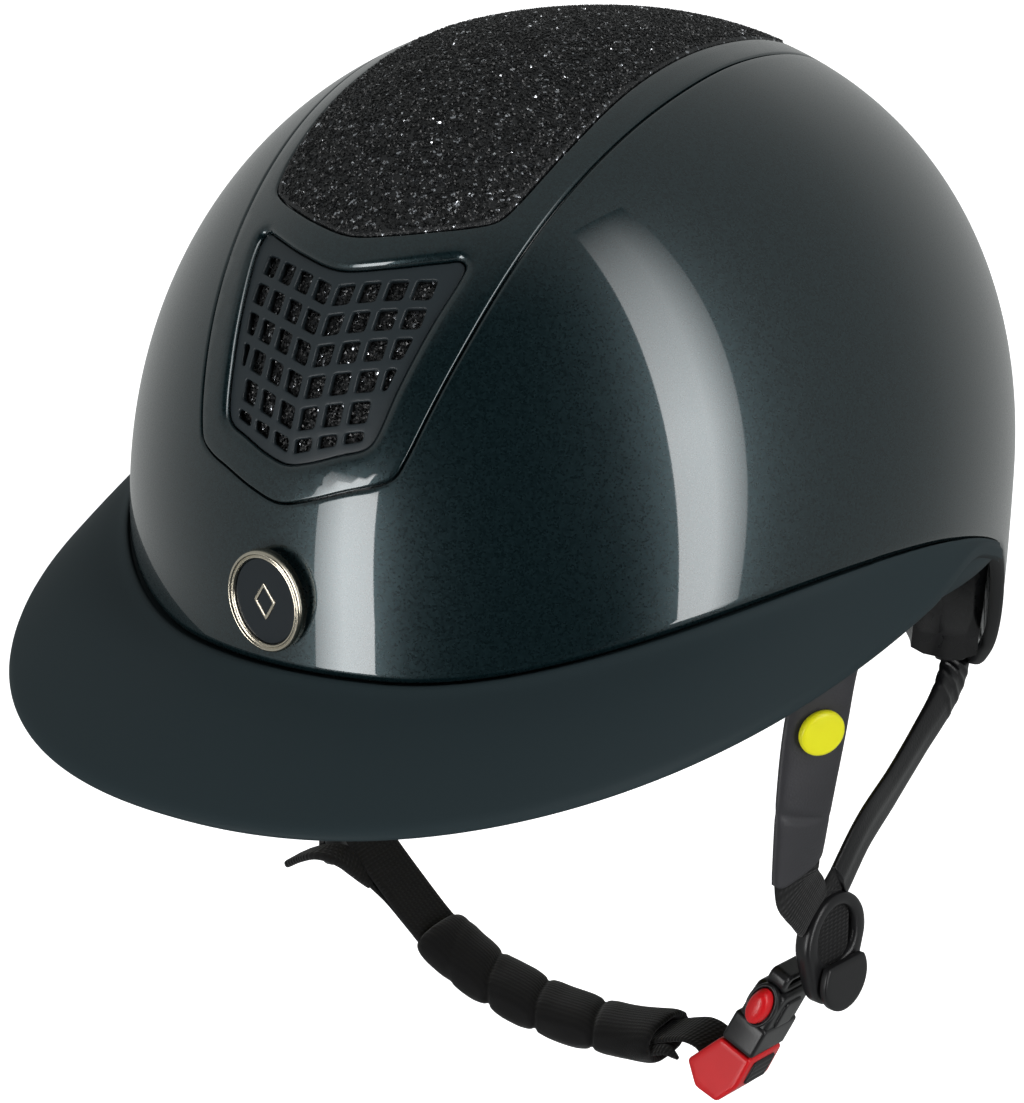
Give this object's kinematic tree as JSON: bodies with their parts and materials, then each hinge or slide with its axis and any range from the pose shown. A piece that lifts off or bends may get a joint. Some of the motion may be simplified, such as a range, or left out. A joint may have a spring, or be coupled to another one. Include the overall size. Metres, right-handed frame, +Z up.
{
  "type": "equestrian riding helmet",
  "caption": "Riding helmet with glossy shell, wide peak, vented centre panel, foam and slip liners, padded lining and a buckled chin harness.",
  "frame": {"origin": "centre of the head opening at brow height, where the wearer's head sits", "axes": "+Z up through the crown, the peak points to -Y, the wearer's left is +X"},
  "size_m": [0.2242, 0.2994, 0.2796],
  "materials": {
    "lacquer": "high-gloss lacquer with fine metallic flake",
    "peak": "soft matte moulded",
    "grille": "satin moulded",
    "glitter": "glitter granules on fabric",
    "silver": "polished pale metal",
    "enamel": "satin enamel",
    "foam": "expanded bead foam",
    "slip": "thin satin sheet",
    "rubber": "matte moulded",
    "padding": "knitted technical fabric",
    "leather": "smooth synthetic leather",
    "webbing": "woven ribbed webbing",
    "black_plastic": "satin moulded",
    "yellow": "satin moulded",
    "red": "semi-gloss moulded"
  },
  "bodies": {
    "helmet": {"outer_shell": "lacquer", "centre_frame": "lacquer", "top_insert": "glitter", "front_vent_mesh": "glitter", "rear_vent_mesh": "glitter", "front_vent_grille": "grille", "rear_vent_grille": "grille", "peak": "peak", "rear_edge_trim": "rubber", "slip_anchor_1": "rubber", "slip_anchor_2": "rubber", "slip_anchor_3": "rubber", "slip_anchor_4": "rubber", "impact_liner": "foam", "badge_bezel": "silver", "badge_plate": "enamel", "nape_pad": "padding", "left_front_sleeve": "leather", "left_rear_sleeve": "leather", "left_front_webbing": "webbing", "left_front_anchor": "black_plastic", "left_rear_anchor": "black_plastic", "left_divider": "black_plastic", "right_front_sleeve": "leather", "right_rear_sleeve": "leather", "right_front_webbing": "webbing", "right_front_anchor": "black_plastic", "right_rear_anchor": "black_plastic", "right_divider": "black_plastic", "yellow_button": "yellow", "right_strap_tail": "webbing"},
    "slip_liner": {"slip_liner": "slip", "headband_pad": "padding", "crown_pad": "padding"},
    "left_flap": {"left_divider_flap": "black_plastic"},
    "right_flap": {"right_divider_flap": "black_plastic"},
    "chin_loop": {"chin_webbing_right": "webbing", "chin_pad": "padding", "buckle_housing": "black_plastic"},
    "tongue": {"buckle_tongue": "red", "tongue_inset": "black_plastic", "chin_webbing_left": "webbing"},
    "release_button": {"release_button": "red"}
  },
  "joints": [
    {"name": "slip_turn", "type": "hinge", "parent": "helmet", "child": "slip_liner", "pos_m": [0, 0.004, 0.05], "axis": [0, 0, 1], "range_deg": [-2.5, 2.5], "stiffness_Nm_per_rad": 2},
    {"name": "left_flap_open", "type": "hinge", "parent": "helmet", "child": "left_flap", "pos_m": [0.08003, 0.00445, -0.0904], "axis": [-0.1736, -0.9848, 0], "range_deg": [0, 80]},
    {"name": "right_flap_open", "type": "hinge", "parent": "helmet", "child": "right_flap", "pos_m": [-0.08003, 0.00445, -0.0904], "axis": [-0.1736, 0.9848, 0], "range_deg": [0, 80]},
    {"name": "chin_swing", "type": "hinge", "parent": "helmet", "child": "chin_loop", "pos_m": [0, 0, -0.088], "axis": [1, 0, 0], "range_deg": [-50, 20]},
    {"name": "buckle_release", "type": "slide", "parent": "chin_loop", "child": "tongue", "axis": [-0.4, 0, -0.9165], "range_m": [0, 0.012]},
    {"name": "button_press", "type": "slide", "parent": "chin_loop", "child": "release_button", "axis": [0, 1, 0], "range_m": [0, 0.002], "stiffness_N_per_m": 400}
  ]
}
